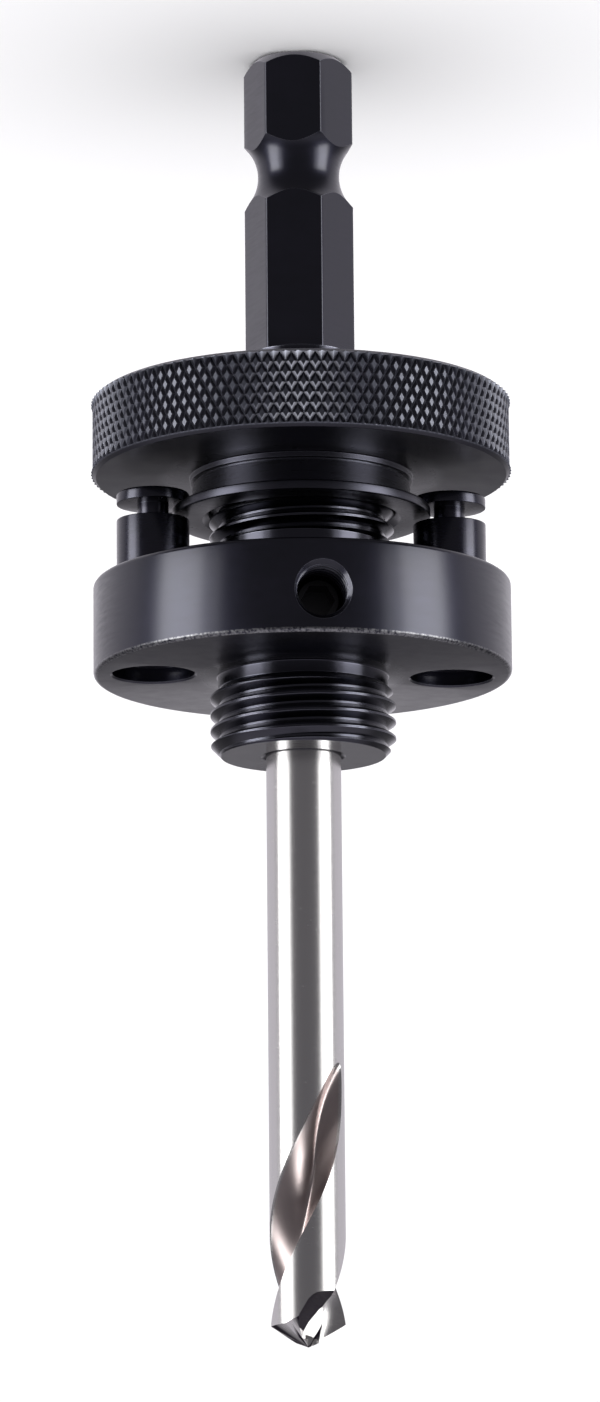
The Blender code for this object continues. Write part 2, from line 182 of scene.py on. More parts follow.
# Pilot drill
DRILL_RADIUS = 3.175
DRILL_START = 35.2
DRILL_TIP = 111.2
DRILL_END_CHAMFER = 0.4
DRILL_SHARP = math.radians(9)
FLUTE_LENGTH = 24.3
FLUTE_PITCH = 37.5
FLUTE_TURN = math.radians(-19.5)
FLUTE_RUNOUT = 6.0
FLUTE_RUNOUT_START = -3.0
FLUTE_RUNOUT_SLANT = 10.5
RUNOUT_PAST = 0.2
RUNOUT_MARGIN = 1.0
FULL_SECTION_END = 6.6

# Section of the drill; the wall is where the flute leaves the land, and reaches pull its curve
HALF_WEB = 0.68
LAND_ANGLE = math.radians(94.5)
WALL_ANGLE = math.radians(60)
WALL_REACH = 1.7
HOLLOW_REACH = 0.5
LIP_STRAIGHT_END = -1.0
BAR_CLEARANCE = 0.25
LEAST_STEP = math.radians(0.05)

# Point of the drill: the cone of its lips, and two flats that fall away behind each lip
POINT_HALF_ANGLE = math.radians(59)
CONE_APEX = 111.45
FIRST_RELIEF = math.radians(3)
FIRST_FLANK_ANGLE = math.radians(41)
SECOND_RELIEF = math.radians(30)
NEXT_LIP = math.radians(170)

# Split point: what the wheel takes out, as (right, height) in the photo, and how it travels
GASH_PROFILE = [
    (-1.4, 113.0), (-1.22, 110.47), (-1.08, 109.5), (-0.73, 108.7), (-0.315, 108.06), (0.03, 107.5),
    (0.373, 107.16), (0.75, 106.93), (1.2, 106.8), (2.17, 106.52), (4.5, 106.0), (4.5, 113.0),
]
NOTCH_PROFILE = [(-1.1, 113.0), (-0.93, 109.75), (-0.45, 109.85), (-0.1, 110.4), (0.1, 113.0)]
GASH_FRONT = 3.1
GASH_LEAD = 2.0
GASH_DRIFT = 0.303
GASH_RISE = 0.206
GASH_BACK = 0.74
GASH_BACK_SLOPE = 0.471
NOTCH_BACK = 0.15

# Facets round the axis, at a rounded corner, along an arc and along the drill
ROUND = 144
SMALL_ROUND = 72
SCREW_ROUND = 48
DRILL_ROUND = 240
CORNER_STEPS = 4
GROOVE_STEPS = 24
RUNOUT_STEPS = 6
EDGE_STEPS = 3
LAND_STEPS = 30
FLUTE_STEPS = 34
LIP_STEPS = 18
FLUTE_ROWS = 110
POINT_ROWS = 24

# How near two points count as one, in metres
SAME_POINT = 1e-7
SAME_THREAD_POINT = 2e-6
ON_PLANE = 1e-8
ON_AXIS = 1e-9

# Patterns of the finishes, and how far from an edge or a crest they reach
CLOUD_WIDTH = 5.0
TURNING_SPACING = 0.3
GRINDING_SPACING = 0.12
MARK_STRETCH = (0.12, 0.12, 1.0)
SPECK_WIDTH = 0.25
EDGE_WEAR_AND_GLINT_REACH = 0.12
CREST_WEAR_AND_GLINT_REACH = 0.2
CREST_WEAR_AND_GLINT_INSET = 0.04
RIM_FADE = 0.1
BODY_FINE_RADIUS = 8.2
NUT_FINE_RADIUS = 11.5
FINE_FADE = 1.0
FLUTE_TINT_FROM = 0.08
FLUTE_TINT_FULL = 0.3
POINT_GRINDING_FROM = 5.4
POINT_GRINDING_FULL = 4.4

# How rough a finish is where it differs from the rest of its piece
ROUGHNESS_BELOW = 0.06
ROUGHNESS_ABOVE = 0.10
FINE_CUT_GLOSS = 0.16
GRAIN_BELOW = 0.04
GRAIN_ABOVE = 0.06
GASH_WALL_DULLNESS = 0.4

# Which way the gashes' walls face, level with the floor, as a vector of length one
GASH_WALL_FACES = (-0.9355, -0.3534, 0.0)

# Softboxes and overhead light, in metres and watts, at degrees round from the camera
WIDE_SOFTBOX = {"angle": 66, "distance": 0.70, "height": 0.07, "size": (0.54, 0.66), "power": 1.757}
BRIGHT_SOFTBOX = {"angle": 69, "distance": 0.55, "height": 0.08, "size": (0.26, 0.54), "power": 1.512}
OVERHEAD_HEIGHT = 1.7
OVERHEAD_SIZE = (5.0, 5.0)
OVERHEAD_POWER = 100

# Room: how bright its parts are, and where they fade, along directions that run from -1 to 1
ROOM_DIM = 0.14
ROOM_GLOW = 0.70
ROOM_CEILING = 0.45
GLOW_SIDE = (-0.05, 0.25)
GLOW_TOP = (-0.02, 0.245)
CEILING_EDGE = (0.6, 0.8)

# Floor and the camera's reach, in metres
FLOOR_REACH = 6
CAMERA_NEAR = 0.01
CAMERA_FAR = 50


def camera_frame():
    """The camera's direction from the target, and the right-hand side of the standing arbor."""
    towards = Vector((
        math.sin(CAMERA_AZIMUTH) * math.cos(CAMERA_ELEVATION),
        -math.cos(CAMERA_AZIMUTH) * math.cos(CAMERA_ELEVATION),
        math.sin(CAMERA_ELEVATION),
    ))
    side = Vector((math.cos(CAMERA_AZIMUTH), math.sin(CAMERA_AZIMUTH), 0))
    return towards, side


# Finishes


def linear(hex_colour):
    """An sRGB hex colour as linear red, green, blue and alpha."""
    parts = [int(hex_colour[i:i + 2], 16) / 255 for i in (1, 3, 5)]
    parts = [p / 12.92 if p <= 0.04045 else ((p + 0.055) / 1.055) ** 2.4 for p in parts]
    return (*parts, 1.0)


def feed(tree, node, inputs):
    """Sets a node's inputs, by name or number, to values or to the outputs that feed them."""
    for key, value in inputs.items():
        if isinstance(value, bpy.types.NodeSocket):
            tree.links.new(value, node.inputs[key])
        else:
            node.inputs[key].default_value = value


def add_node(tree, kind, output, inputs=None, **settings):
    """Adds a node with its settings and inputs, and gives the named one of its outputs."""
    node = tree.nodes.new(kind)
    for name, value in settings.items():
        setattr(node, name, value)
    feed(tree, node, inputs or {})
    return node.outputs[output]


def new_material(name):
    """A material, its node tree and its Principled shader."""
    material = bpy.data.materials.new(name)
    material.use_nodes = True
    tree = material.node_tree
    return material, tree, tree.nodes["Principled BSDF"]


def meeting(tree, first, *others):
    """One where all of several masks are one: their product."""
    met = first
    for other in others:
        met = add_node(tree, "ShaderNodeMath", "Value", {0: met, 1: other}, operation="MULTIPLY")
    return met


def layered(tree, base, layers):
    """A base colour with others laid over it in turn, each given as its mask and its colour."""
    colour = linear(base)
    for mask, over in layers:
        colour = add_node(tree, "ShaderNodeMix", "Result", {
            "Factor": mask, "A": colour, "B": linear(over),
        }, data_type="RGBA")
    return colour


def by_radius(tree, place, start, full):
    """A mask that rises from nothing to one between two distances from the arbor's axis."""
    flat = add_node(tree, "ShaderNodeMapping", "Vector", {"Vector": place, "Scale": (1, 1, 0)})
    radius = add_node(tree, "ShaderNodeVectorMath", "Value", {0: flat}, operation="LENGTH")
    return add_node(tree, "ShaderNodeMapRange", "Result", {
        "Value": radius, "From Min": start * MM, "From Max": full * MM,
    })


def by_height(tree, place, start, full):
    """A mask that rises from nothing to one between two heights above the shank's end."""
    height = add_node(tree, "ShaderNodeSeparateXYZ", "Z", {"Vector": place})
    return add_node(tree, "ShaderNodeMapRange", "Result", {
        "Value": height, "From Min": start * MM, "From Max": full * MM,
    })


def turning_marks(tree, place, spacing):
    """Noise drawn out round the axis, like the fine marks that a tool or a wheel leaves."""
    drawn_out = add_node(tree, "ShaderNodeMapping", "Vector", {"Vector": place, "Scale": MARK_STRETCH})
    return add_node(tree, "ShaderNodeTexNoise", "Fac", {
        "Vector": drawn_out, "Scale": 1 / (spacing * MM), "Detail": 2.0, "Roughness": 0.6,
    })


def edge_wear_and_glint_mask(tree):
    """A mask that is one along the sharp edges of a piece and nothing on its faces: the edges it
    lightens show a little wear and painted glints.
    """
    # Near an edge the rounded direction of the surface turns away from its plain one
    rounded = add_node(tree, "ShaderNodeBevel", "Normal", {"Radius": EDGE_WEAR_AND_GLINT_REACH * MM}, samples=4)
    plain = add_node(tree, "ShaderNodeNewGeometry", "Normal")
    match = add_node(
        tree, "ShaderNodeVectorMath", "Value", {0: rounded, 1: plain}, operation="DOT_PRODUCT",
    )
    return add_node(tree, "ShaderNodeMapRange", "Result", {
        "Value": match, "From Min": 0.80, "From Max": 0.98, "To Min": 1.0, "To Max": 0.0,
    })


def rim_highlight_specks(tree, place, end):
    """A mask of specks about 0.25 mm wide along the outer edge of the plate's end face, for a painted
    highlight.
    """
    inner = PLATE_RADIUS - PLATE_EDGE
    foot = end - PLATE_EDGE
    specks = add_node(tree, "ShaderNodeTexNoise", "Fac", {
        "Vector": place, "Scale": 1 / (SPECK_WIDTH * MM), "Detail": 2.0,
    })
    strength = add_node(tree, "ShaderNodeMapRange", "Result", {
        "Value": specks, "From Min": 0.35, "From Max": 0.6, "To Max": 0.6,
    })
    return meeting(
        tree, by_height(tree, place, foot, foot + RIM_FADE),
        by_radius(tree, place, inner, inner + RIM_FADE), strength,
    )


def gash_wall_shade_mask(tree, place):
    """A mask of the two gashes' walls, told from the rest of the point by which way they face, for
    painted shade.
    """
    facing = add_node(tree, "ShaderNodeTexCoord", "Normal")
    towards_wall = add_node(
        tree, "ShaderNodeVectorMath", "Value", {0: facing, 1: GASH_WALL_FACES}, operation="DOT_PRODUCT",
    )
    either_wall = add_node(tree, "ShaderNodeMath", "Value", {0: towards_wall}, operation="ABSOLUTE")
    sideways = add_node(tree, "ShaderNodeMapRange", "Result", {
        "Value": either_wall, "From Min": 0.24, "From Max": 0.31,
    })
    upward = add_node(tree, "ShaderNodeSeparateXYZ", "Z", {"Vector": facing})
    leaning = add_node(tree, "ShaderNodeMapRange", "Result", {
        "Value": upward, "From Min": 0.22, "From Max": 0.30,
    })
    at_point = by_height(
        tree, place, DRILL_TIP - POINT_GRINDING_FROM, DRILL_TIP - POINT_GRINDING_FULL,
    )
    return meeting(tree, sideways, leaning, at_point)


def black_oxide(
    name, base, tint, wear_and_glint, roughness, oil_roughness, crest=None, rim=None,
    fine_radius=BODY_FINE_RADIUS,
):
    """Steel blackened in a hot oxide bath and oiled: near black, blue in the light, satin.

    The edge colour lightens sharp edges: a little wear, and painted glints. A knurl's crest is the
    radius at which its diamonds take that colour, as wear and painted highlight, and a rim is the
    height of the plate's end, whose edge gets a painted highlight in specks. Within the fine radius,
    above the hexagon, the steel is cut finer and has more gloss.
    """
    material, tree, shader = new_material(name)
    place = add_node(tree, "ShaderNodeTexCoord", "Object")
    # Clouds about 5 mm wide shift the oxide between its blue and its violet cast
    clouds = add_node(tree, "ShaderNodeTexNoise", "Fac", {
        "Vector": place, "Scale": 1 / (CLOUD_WIDTH * MM), "Detail": 3.0, "Roughness": 0.6,
    })
    # Sharp edges lighter: a little wear, and painted glints
    layers = [(clouds, tint), (edge_wear_and_glint_mask(tree), wear_and_glint)]
    # Diamonds lighter towards their crests: wear, and painted highlight
    if crest:
        layers.append((by_radius(tree, place, crest - CREST_WEAR_AND_GLINT_REACH, crest), wear_and_glint))
    # Painted highlight in specks along the plate's rim
    if rim:
        layers.append((rim_highlight_specks(tree, place, rim), "#a9a9ab"))
    # Turning feed is about 0.1 mm a turn; it is drawn three times as coarse to show at all
    marks = turning_marks(tree, place, TURNING_SPACING)
    bumped = add_node(tree, "ShaderNodeBump", "Normal", {
        "Height": marks, "Strength": 0.05, "Distance": 0.02 * MM,
    })
    uneven = add_node(tree, "ShaderNodeMapRange", "Result", {
        "Value": meeting(tree, marks, clouds), "From Min": 0.1, "From Max": 0.45,
        "To Min": roughness - ROUGHNESS_BELOW, "To Max": roughness + ROUGHNESS_ABOVE,
    })
    # Threads, necks and the nut's hub are cut finer than the shank, the plate and the nut's head
    fine = meeting(
        tree, by_radius(tree, place, fine_radius + FINE_FADE, fine_radius),
        by_height(tree, place, HEX_TOP, HEX_TOP + FINE_FADE),
    )
    rough = add_node(
        tree, "ShaderNodeMath", "Value", {0: fine, 1: -FINE_CUT_GLOSS, 2: uneven},
        operation="MULTIPLY_ADD",
    )
    feed(tree, shader, {
        "Base Color": layered(tree, base, layers),
        "Roughness": rough,
        "Normal": bumped,
        "Metallic": 1.0,
        "Coat Weight": 0.9,
        "Coat Roughness": oil_roughness,
    })
    return material


def ground_steel(name, base, flute_tint, painted_shade_tint, roughness, flute_roughness):
    """High-speed steel, ground bright on the round and at the point, duller and brown in the flutes.

    The walls of the two gashes get painted shade: nearly black, and dull.
    """
    material, tree, shader = new_material(name)
    place = add_node(tree, "ShaderNodeTexCoord", "Object")
    # Wheel marks of a 60 grit wheel are about 0.05 mm apart; drawn coarser, to show at all
    marks = turning_marks(tree, place, GRINDING_SPACING)
    bumped = add_node(tree, "ShaderNodeBump", "Normal", {
        "Height": marks, "Strength": 0.1, "Distance": 0.01 * MM,
    })
    # The point is ground last, so the heat tint of the flutes ends where the gash begins
    in_flute = meeting(
        tree, by_radius(tree, place, DRILL_RADIUS - FLUTE_TINT_FROM, DRILL_RADIUS - FLUTE_TINT_FULL),
        by_height(tree, place, DRILL_TIP - POINT_GRINDING_FULL, DRILL_TIP - POINT_GRINDING_FROM),
    )
    # Painted shade: the gashes' walls nearly black, picked by which way they face
    painted_shade = gash_wall_shade_mask(tree, place)
    grain = add_node(tree, "ShaderNodeMapRange", "Result", {
        "Value": marks, "To Min": roughness - GRAIN_BELOW, "To Max": roughness + GRAIN_ABOVE,
    })
    duller = add_node(
        tree, "ShaderNodeMath", "Value", {0: in_flute, 1: flute_roughness - roughness, 2: grain},
        operation="MULTIPLY_ADD",
    )
    rough = add_node(
        tree, "ShaderNodeMath", "Value", {0: painted_shade, 1: GASH_WALL_DULLNESS, 2: duller},
        operation="MULTIPLY_ADD",
    )
    feed(tree, shader, {
        "Base Color": layered(tree, base, [(in_flute, flute_tint), (painted_shade, painted_shade_tint)]),
        "Roughness": rough,
        "Normal": bumped,
        "Metallic": 1.0,
    })
    return material


# Shapes, before they become pieces


def soften(points):
    """An outline with its marked corners rounded; a point is (radius, height) or with a radius."""
    rounded = []
    count = len(points)
    for i, point in enumerate(points):
        here = Vector(point[:2])
        if len(point) < 3:
            rounded.append(tuple(here))
            continue
        before = (Vector(points[i - 1][:2]) - here).normalized()
        after = (Vector(points[(i + 1) % count][:2]) - here).normalized()
        half = before.angle(after) / 2
        reach = point[2] / math.tan(half)
        centre = here + (before + after).normalized() * point[2] / math.sin(half)
        start = here + before * reach - centre
        end = here + after * reach - centre
        turn = start.angle_signed(end)
        for step in range(CORNER_STEPS + 1):
            spoke = start.copy()
            spoke.rotate(Matrix.Rotation(-turn * step / CORNER_STEPS, 2))
            rounded.append(tuple(centre + spoke))
    return rounded


def turned(outline, segments=ROUND):
    """Spins a closed outline of (radius, height) about the axis."""
    bm = bmesh.new()
    verts = [bm.verts.new((radius * MM, 0, height * MM)) for radius, height in outline]
    edges = [bm.edges.new((a, b)) for a, b in zip(verts, verts[1:] + verts[:1])]
    edges = [e for e in edges if max(v.co.x for v in e.verts) >= ON_AXIS]
    bmesh.ops.spin(
        bm, geom=verts + edges, cent=(0, 0, 0), axis=(0, 0, 1), dvec=(0, 0, 0),
        angle=math.tau, steps=segments, use_merge=True,
    )
    bmesh.ops.remove_doubles(bm, verts=bm.verts, dist=SAME_POINT)
    bmesh.ops.delete(bm, geom=[e for e in bm.edges if not e.link_faces], context="EDGES")
    bmesh.ops.recalc_face_normals(bm, faces=bm.faces)
    return bm


def thread_rod(radius, depth, pitch, bottom, top, steps=SMALL_ROUND):
    """A closed rod with a right-hand thread, cut square at both ends."""
    bm = bmesh.new()
    root = radius - depth
    low = bottom - 1.5 * pitch
    turns = math.ceil((top - low) / pitch) + 1
    verts = [
        bm.verts.new(((root + depth * rise) * MM, 0, (low + pitch * along) * MM))
        for rise, along in THREAD_PROFILE
    ]
    edges = [bm.edges.new(pair) for pair in zip(verts, verts[1:])]
    bmesh.ops.spin(
        bm, geom=verts + edges, cent=(0, 0, 0), axis=(0, 0, 1),
        dvec=(0, 0, pitch * MM / steps), angle=math.tau * turns, steps=steps * turns,
        use_merge=False,
    )
    bmesh.ops.remove_doubles(bm, verts=bm.verts, dist=SAME_THREAD_POINT)
    for height, outwards in ((bottom, -1), (top, 1)):
        bmesh.ops.bisect_plane(
            bm, geom=bm.verts[:] + bm.edges[:] + bm.faces[:], dist=ON_PLANE,
            plane_co=(0, 0, height * MM), plane_no=(0, 0, outwards), clear_outer=True,
        )
    bmesh.ops.edgenet_fill(bm, edges=[e for e in bm.edges if e.is_boundary])
    bmesh.ops.triangulate(bm, faces=[f for f in bm.faces if len(f.verts) > 4])
    bmesh.ops.recalc_face_normals(bm, faces=bm.faces)
    return bm


def hex_bar(half, bottom, top, turn, edge):
    """A hexagonal bar with its long edges bevelled; with no turn a flat faces -Y."""
    bm = bmesh.new()
    radius = half / math.cos(math.radians(30)) * MM
    bmesh.ops.create_cone(
        bm, cap_ends=True, segments=6, radius1=radius, radius2=radius, depth=(top - bottom) * MM,
    )
    middle = Matrix.Translation((0, 0, (bottom + top) / 2 * MM))
    moved(bm, middle @ Matrix.Rotation(turn + math.radians(30), 4, "Z"))
    if edge:
        long_edges = [e for e in bm.edges if abs(e.verts[0].co.z - e.verts[1].co.z) > MM]
        bmesh.ops.bevel(
            bm, geom=long_edges, offset=edge * MM, segments=EDGE_STEPS, profile=0.5,
            affect="EDGES", material=-1,
        )
    return bm


def moved(bm, matrix):
    """Puts a shape in its place."""
    bmesh.ops.transform(bm, matrix=matrix, verts=bm.verts)
    return bm


def at_pin(bm, side):
    """Puts a shape made on the axis where a drive pin is; side is 1 towards +X and -1 towards -X."""
    return moved(bm, Matrix.Translation((side * PIN_CIRCLE * MM, 0, 0)))


def along_screw(bm):
    """Turns a shape made along +Z to point out of the plate along -Y at the screw's height."""
    place = Matrix.Translation((0, 0, SCREW_HEIGHT * MM)) @ Matrix.Rotation(math.pi / 2, 4, "X")
    return moved(bm, place)


def as_object(name, bm):
    """Turns a shape into an object."""
    mesh = bpy.data.meshes.new(name)
    bm.to_mesh(mesh)
    bm.free()
    obj = bpy.data.objects.new(name, mesh)
    bpy.context.scene.collection.objects.link(obj)
    return obj


def carve(bm, changes):
    """Joins, cuts or trims a shape by others, given in turn as (operation, shape)."""
    blank = as_object("blank", bm)
    tools = []
    for operation, shape in changes:
        tool = as_object("carving_tool", shape)
        tools.append(tool)
        modifier = blank.modifiers.new("carve", "BOOLEAN")
        modifier.operation = operation
        modifier.solver = "EXACT"
        modifier.object = tool
    bpy.context.view_layer.update()
    result = bmesh.new()
    result.from_object(blank, bpy.context.evaluated_depsgraph_get())
    for obj in (blank, *tools):
        bpy.data.objects.remove(obj, do_unlink=True)
    return result


def finish_piece(bm, node, material, body, sharp=math.radians(30)):
    """Makes a shape the finished piece that stands for its CAD node, with its finish and body."""
    bmesh.ops.remove_doubles(bm, verts=bm.verts, dist=SAME_POINT)
    bmesh.ops.dissolve_degenerate(bm, edges=bm.edges, dist=SAME_POINT)
    piece = as_object(node + "_finished", bm)
    piece.data.materials.append(material)
    piece.data.shade_smooth()
    piece.data.set_sharp_from_angle(angle=sharp)
    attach(piece, body)
    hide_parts(node)


# Arbor body


def snap_groove_turning():
    """What the lathe leaves of the hexagonal shank: its end chamfer and the snap groove."""
    outside = HEX_HALF / math.cos(math.radians(30)) + SHANK_MARGIN
    centre = GROOVE_NECK + GROOVE_ARC
    half_angle = math.acos((centre - outside) / GROOVE_ARC)
    outline = soften([
        (0, 0), (END_FLAT_RADIUS, 0, END_EDGE), (outside, outside - END_FLAT_RADIUS),
    ])
    for i in range(GROOVE_STEPS + 1):
        angle = math.pi + half_angle - 2 * half_angle * i / GROOVE_STEPS
        outline.append((
            centre + GROOVE_ARC * math.cos(angle), GROOVE_HEIGHT + GROOVE_ARC * math.sin(angle),
        ))
    outline += [(outside, SHOULDER - OVERLAP), (0, SHOULDER - OVERLAP)]
    return turned(outline)


def turned_core():
    """The turned body from the hexagon's run-out to the nose, at the threads' root."""
    root = THREAD_RADIUS - THREAD_DEPTH - CORE_SINK
    outline = [(0, HEX_TOP - RUNOUT_FOOT), (HEX_HALF - RUNOUT_INSET, HEX_TOP - RUNOUT_FOOT)]
    for i in range(RUNOUT_STEPS + 1):
        angle = RUNOUT_FROM + (RUNOUT_TO - RUNOUT_FROM) * i / RUNOUT_STEPS
        outline.append((JOURNAL_RADIUS + RUNOUT * math.cos(angle), HEX_TOP + RUNOUT * math.sin(angle)))
    outline += [
        (JOURNAL_RADIUS, SHOULDER + THREAD_LAP),
        (root, SHOULDER + THREAD_LAP),
        (root, RELIEF_START - 2 * THREAD_LAP),
        (RELIEF_RADIUS, RELIEF_START - 2 * THREAD_LAP),
        (RELIEF_RADIUS, PLATE_START, PLATE_FILLET),
        (PLATE_RADIUS, PLATE_START, PLATE_EDGE),
        (PLATE_RADIUS, PLATE_END, PLATE_EDGE),
        (NOSE_NECK_RADIUS, PLATE_END, NOSE_FILLET),
        (NOSE_NECK_RADIUS, NOSE_THREAD_START + THREAD_LAP),
        (root, NOSE_THREAD_START + THREAD_LAP),
        (root, NOSE_END - THREAD_LAP),
        (0, NOSE_END - THREAD_LAP),
    ]
    return turned(soften(outline))


def thread_with_chamfers(bottom, top, bottom_radius, top_radius):
    """A thread whose ends are turned down at 45 degrees to given radii."""
    rod = thread_rod(
        THREAD_RADIUS, THREAD_DEPTH, THREAD_PITCH, bottom - THREAD_OVERRUN, top + THREAD_OVERRUN,
    )
    outside = THREAD_RADIUS + THREAD_MARGIN
    envelope = turned([
        (0, bottom), (bottom_radius, bottom), (outside, bottom + outside - bottom_radius),
        (outside, top - outside + top_radius), (top_radius, top), (0, top),
    ])
    return carve(rod, [("INTERSECT", envelope)])


def pin_hole(side):
    """A cutter for the hole of one drive pin, its mouths flared by a chamfer."""
    flared = PIN_HOLE_RADIUS + PIN_HOLE_CHAMFER + OVERLAP
    return at_pin(turned([
        (0, PLATE_START - OVERLAP), (flared, PLATE_START - OVERLAP),
        (PIN_HOLE_RADIUS, PLATE_START + PIN_HOLE_CHAMFER),
        (PIN_HOLE_RADIUS, PLATE_END - PIN_HOLE_CHAMFER),
        (flared, PLATE_END + OVERLAP), (0, PLATE_END + OVERLAP),
    ], SMALL_ROUND), side)


def screw_hole():
    """A cutter for the grub screw's plain hole, with its chamfered mouth in the plate's rim."""
    radius = SCREW_RADIUS + SCREW_CLEARANCE
    sink = SCREW_MOUTH_RADIUS - SCREW_RADIUS
    return along_screw(turned([
        (0, 0), (radius, 0), (radius, PLATE_RADIUS - sink),
        (SCREW_MOUTH_RADIUS + OVERLAP, PLATE_RADIUS + OVERLAP), (0, PLATE_RADIUS + OVERLAP),
    ], SMALL_ROUND))


def screw_hole_thread():
    """A tap for the thread in the grub screw's hole."""
    return along_screw(thread_rod(
        TAPPED_RADIUS, TAPPED_DEPTH, TAPPED_PITCH, TAPPED_START, PLATE_RADIUS - TAPPED_SHORT,
        SCREW_ROUND,
    ))


def drill_bore():
    """A cutter for the bore that holds the pilot drill, with its cone at the bottom and its mouth."""
    return turned([
        (0, BORE_START - BORE_RADIUS / math.tan(POINT_HALF_ANGLE)), (BORE_RADIUS, BORE_START),
        (BORE_RADIUS, NOSE_END - BORE_MOUTH), (BORE_RADIUS + BORE_MOUTH + OVERLAP, NOSE_END + OVERLAP),
        (0, NOSE_END + OVERLAP),
    ])


def make_arbor_body(material):
    """Hex shank, journal, threaded body, drive plate and threaded nose in one piece."""
    shank = carve(
        hex_bar(HEX_HALF, 0, HEX_TOP + 2 * RUNOUT, HEX_TURN, HEX_EDGE),
        [("INTERSECT", snap_groove_turning())],
    )
    nut_thread = thread_with_chamfers(
        SHOULDER, RELIEF_START, THREAD_RADIUS - SHOULDER_CHAMFER, RELIEF_RADIUS - THREAD_END_SINK,
    )
    nose_thread = thread_with_chamfers(
        NOSE_THREAD_START, NOSE_END, NOSE_NECK_RADIUS - THREAD_END_SINK, THREAD_RADIUS - NOSE_CHAMFER,
    )
    body = carve(turned_core(), [
        ("UNION", shank),
        ("UNION", nut_thread),
        ("UNION", nose_thread),
        ("DIFFERENCE", pin_hole(-1)),
        ("DIFFERENCE", pin_hole(1)),
        ("DIFFERENCE", screw_hole()),
        ("DIFFERENCE", screw_hole_thread()),
        ("DIFFERENCE", drill_bore()),
    ])
    finish_piece(body, "arbor_body", material, "arbor")


# Knurled nut


def knurl_heights():
    """The heights of the knurl's rows, even about the middle of the nut's head."""
    width = NUT_HEAD_END - NUT_START - 2 * KNURL_LIP
    rows = round(width / KNURL_ROW * 2) / 2
    first = (NUT_START + NUT_HEAD_END) / 2 - rows * KNURL_ROW / 2
    return [first + KNURL_ROW * i for i in range(int(rows) + 1)]


def turned_nut(heights):
    """The nut as the lathe leaves it, with a row of points round the rim at each given height."""
    shoulder = NUT_HEAD_RADIUS - KNURL_EDGE
    face = shoulder - KNURL_LIP
    mouth = NUT_BORE_RADIUS + NUT_BORE_CHAMFER
    return turned(soften([
        (mouth, NUT_START),
        (face, NUT_START, KNURL_EDGE),
        (shoulder, NUT_START + KNURL_LIP - KNURL_GAP),
        *[(NUT_HEAD_RADIUS, height) for height in heights],
        (shoulder, NUT_HEAD_END - KNURL_LIP + KNURL_GAP),
        (face, NUT_HEAD_END, KNURL_EDGE),
        (NUT_STEP_RADIUS, NUT_HEAD_END, KNURL_EDGE),
        (NUT_STEP_RADIUS, NUT_STEP_END, NUT_STEP_EDGE),
        (NUT_UNDERCUT_RADIUS, NUT_STEP_END),
        (NUT_UNDERCUT_RADIUS, NUT_HUB_START),
        (NUT_HUB_RADIUS, NUT_HUB_START, NUT_HUB_EDGE),
        (NUT_HUB_RADIUS, NUT_RIM_START, NUT_HUB_FILLET),
        (NUT_RIM_RADIUS, NUT_RIM_START, NUT_RIM_EDGE),
        (NUT_RIM_RADIUS, NUT_RIM_END, NUT_RIM_EDGE),
        (mouth, NUT_RIM_END, NUT_BORE_EDGE),
        (NUT_BORE_RADIUS, NUT_RIM_END - NUT_BORE_CHAMFER),
        (NUT_BORE_RADIUS, NUT_START + NUT_BORE_CHAMFER),
    ]), KNURL_COLUMNS * 2)


def press_knurl(bm, heights):
    """Presses crossing grooves into the rim, so that diamonds with small flats stand between them."""
    crests = []
    grooves = []
    for vert in bm.verts:
        if abs(vert.co.xy.length / MM - NUT_HEAD_RADIUS) > KNURL_GAP / 2:
            continue
        column = round(math.atan2(vert.co.y, vert.co.x) / math.tau * KNURL_COLUMNS * 2)
        row = round((vert.co.z / MM - heights[0]) / KNURL_ROW)
        if (column + row) % 2:
            grooves.append(vert)
        else:
            crests.append(vert)
    for vert in grooves:
        scale = 1 - KNURL_DEPTH / NUT_HEAD_RADIUS
        vert.co.x *= scale
        vert.co.y *= scale
    bmesh.ops.connect_verts(bm, verts=grooves)
    low = heights[0] + KNURL_ROW / 2
    high = heights[-1] - KNURL_ROW / 2
    bmesh.ops.bevel(
        bm, geom=[v for v in crests if low < v.co.z / MM < high], offset=KNURL_FLAT,
        offset_type="PERCENT", segments=1, profile=0.5, affect="VERTICES", material=-1,
    )
    bmesh.ops.recalc_face_normals(bm, faces=bm.faces)


def make_knurled_nut(material):
    """The knurled nut: head, step, hub and the thin rim that the drive pins hang on."""
    heights = knurl_heights()
    nut = turned_nut(heights)
    press_knurl(nut, heights)
    finish_piece(nut, "knurled_nut", material, "knurled_nut", NUT_SHARP)


# Drive pins and grub screw


def make_drive_pin(node, side, material):
    """A grooved drive pin with a small centre mark in its end."""
    pin = turned(soften([
        (0, PIN_START),
        (PIN_RADIUS, PIN_START, PIN_HEAD_EDGE),
        (PIN_RADIUS, PIN_GROOVE_START, PIN_GROOVE_NEAR_EDGE),
        (PIN_NECK, PIN_GROOVE_START),
        (PIN_NECK, PIN_GROOVE_END),
        (PIN_RADIUS, PIN_GROOVE_END, PIN_GROOVE_FAR_EDGE),
        (PIN_RADIUS, PIN_END - PIN_CHAMFER, PIN_CHAMFER_EDGE),
        (PIN_RADIUS - PIN_CHAMFER, PIN_END, PIN_CHAMFER_EDGE),
        (CENTRE_MARK_RADIUS, PIN_END, CENTRE_MARK_EDGE),
        (0, PIN_END - CENTRE_MARK_DEPTH),
    ]), SMALL_ROUND)
    finish_piece(at_pin(pin, side), node, material, "drive_pins")


